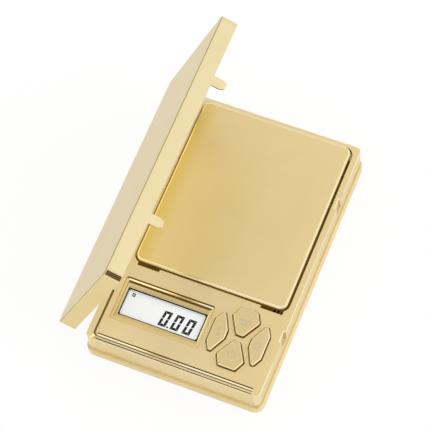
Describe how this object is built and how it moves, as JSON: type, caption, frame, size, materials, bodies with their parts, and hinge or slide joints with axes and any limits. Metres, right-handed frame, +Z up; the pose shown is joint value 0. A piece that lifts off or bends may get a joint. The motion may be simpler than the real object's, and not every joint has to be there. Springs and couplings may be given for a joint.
{
  "type": "digital pocket scale",
  "caption": "Flat pocket scale with a square weighing tray, a window with keys beside it, and a fold-over lid with closing pegs.",
  "frame": {"origin": "on the table, under the centre of the base's rectangular flange", "axes": "+X from the hinge side to the right, +Y from the display end to the back, +Z up"},
  "size_m": [0.0883, 0.122, 0.0904],
  "materials": {
    "plated_case": "electroplated, mirror-bright pale gold",
    "plated_lid": "electroplated, mirror-bright pale gold",
    "plated_tray": "electroplated, mirror-bright pale gold",
    "plated_keys": "electroplated, mirror-bright pale gold",
    "plated_door": "electroplated, mirror-bright pale gold",
    "steel": "zinc plated",
    "spring_steel": "nickel plated",
    "beam_metal": "milled",
    "gauge_film": "amber film",
    "white_plastic": "moulded",
    "clear_window": "clear acrylic",
    "display_glass": "pale reflective cell",
    "display_ink": "switched-on segments",
    "light_plate": "milky",
    "zebra_rubber": "silicone",
    "switch_black": "moulded",
    "circuit_board": "solder mask",
    "chip_black": "epoxy",
    "ceramic": "ceramic chips",
    "cell_jacket": "dark printed-metal jacket, left plain",
    "red_wire": "insulation",
    "black_wire": "insulation",
    "foot_rubber": "moulded"
  },
  "bodies": {
    "base": {"bottom_case": "plated_case", "top_case": "plated_case", "hinge_pins": "steel", "load_cell": "beam_metal", "strain_gauges": "gauge_film", "load_cell_spacer": "beam_metal", "load_cell_screws": "steel", "load_cell_wires": "red_wire", "lcd_window": "clear_window", "lcd_glass": "display_glass", "lcd_digits": "display_ink", "lcd_backlight": "light_plate", "lcd_holder": "white_plastic", "zebra_strip": "zebra_rubber", "key_switches": "switch_black", "main_board": "circuit_board", "controller_chip": "chip_black", "converter_chip": "chip_black", "board_capacitors": "ceramic", "board_screws": "steel", "batteries": "cell_jacket", "battery_contacts": "spring_steel", "battery_wires": "black_wire", "case_screws": "steel", "rubber_feet": "foot_rubber"},
    "lid": {"lid": "plated_lid"},
    "platform": {"weighing_tray": "plated_tray", "tray_carrier": "white_plastic", "carrier_screws": "steel"},
    "power_key": {"power_key": "plated_keys"},
    "tare_key": {"tare_key": "plated_keys"},
    "mode_key": {"mode_key": "plated_keys"},
    "count_key": {"count_key": "plated_keys"},
    "battery_door": {"battery_door": "plated_door"}
  },
  "joints": [
    {"name": "lid_hinge", "type": "hinge", "parent": "base", "child": "lid", "pos_m": [-0.0409, 0, 0.0132], "axis": [0, 1, 0], "range_deg": [-111, 69]},
    {"name": "tray_press", "type": "slide", "parent": "base", "child": "platform", "axis": [0, 0, -1], "range_m": [0, 0.0003], "stiffness_N_per_m": 16000, "deforming": ["load_cell"]},
    {"name": "power_press", "type": "slide", "parent": "base", "child": "power_key", "axis": [0, 0, -1], "range_m": [0, 0.0005], "stiffness_N_per_m": 3000},
    {"name": "tare_press", "type": "slide", "parent": "base", "child": "tare_key", "axis": [0, 0, -1], "range_m": [0, 0.0005], "stiffness_N_per_m": 3000},
    {"name": "mode_press", "type": "slide", "parent": "base", "child": "mode_key", "axis": [0, 0, -1], "range_m": [0, 0.0005], "stiffness_N_per_m": 3000},
    {"name": "count_press", "type": "slide", "parent": "base", "child": "count_key", "axis": [0, 0, -1], "range_m": [0, 0.0005], "stiffness_N_per_m": 3000},
    {"name": "door_slide", "type": "slide", "parent": "base", "child": "battery_door", "axis": [0, 1, 0], "range_m": [0, 0.008]}
  ]
}
